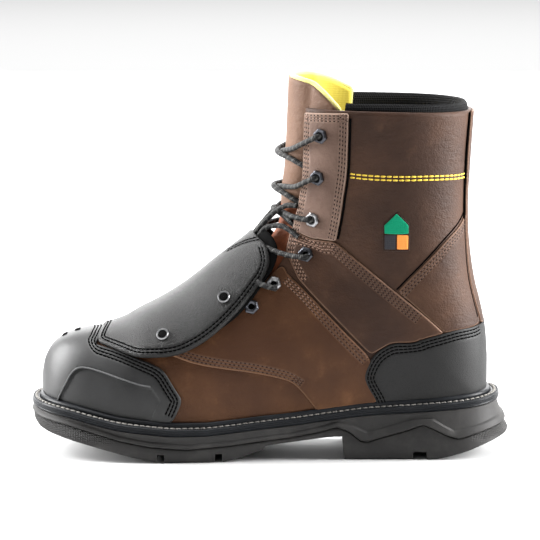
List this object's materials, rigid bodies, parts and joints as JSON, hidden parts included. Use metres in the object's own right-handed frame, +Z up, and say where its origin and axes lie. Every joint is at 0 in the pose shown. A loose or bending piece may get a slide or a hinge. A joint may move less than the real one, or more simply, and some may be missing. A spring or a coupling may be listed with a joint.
{
  "type": "metatarsal guard boot",
  "caption": "Left work boot, ankle high and laced, with an outer metatarsal guard over the instep, a moulded toe cap, a stitched welt and a heeled sole with chevrons on its side.",
  "frame": {"origin": "middle of the boot's length and width, on the floor it stands on", "axes": "-X towards the toe, +X towards the heel, -Y towards the outer side of the foot, +Z up the shaft"},
  "size_m": [0.3175, 0.1052, 0.2502],
  "materials": {
    "brown_leather": "oiled, matt",
    "cap_rubber": "moulded, satin",
    "black_leather": "pebbled, semi-gloss",
    "black_foam": "closed-cell foam, matt",
    "black_mesh_lining": "woven mesh",
    "yellow_lining": "woven, matt",
    "welt_rubber": "semi-gloss",
    "sole_rubber": "matt",
    "insole_cloth": "matt",
    "gunmetal": "dark plated",
    "black_cord": "braided cord",
    "patch_cloth": "woven patch"
  },
  "bodies": {
    "root": {"backstay": "brown_leather", "collar_padding": "black_mesh_lining", "eyelet_inner_1": "gunmetal", "eyelet_inner_2": "gunmetal", "eyelet_inner_3": "gunmetal", "eyelet_inner_4": "gunmetal", "eyelet_inner_5": "gunmetal", "eyelet_inner_6": "gunmetal", "eyelet_outer_1": "gunmetal", "eyelet_outer_2": "gunmetal", "eyelet_outer_3": "gunmetal", "eyelet_outer_4": "gunmetal", "eyelet_outer_5": "gunmetal", "eyelet_outer_6": "gunmetal", "facing_inner": "brown_leather", "facing_outer": "brown_leather", "guard_padding": "black_foam", "heel_counter": "black_leather", "insole": "insole_cloth", "lace_crossing_1": "black_cord", "lace_crossing_2": "black_cord", "lace_crossing_3": "black_cord", "metatarsal_guard": "black_leather", "midsole": "sole_rubber", "outsole": "sole_rubber", "quarter_inner": "brown_leather", "quarter_outer": "brown_leather", "rivet_inner_1": "gunmetal", "rivet_inner_2": "gunmetal", "rivet_outer_1": "gunmetal", "rivet_outer_2": "gunmetal", "side_patch": "patch_cloth", "toe_cap": "cap_rubber", "tongue": "brown_leather", "tongue_lining": "yellow_lining", "upper": "brown_leather", "vamp": "brown_leather", "welt": "welt_rubber"}
  },
  "joints": []
}
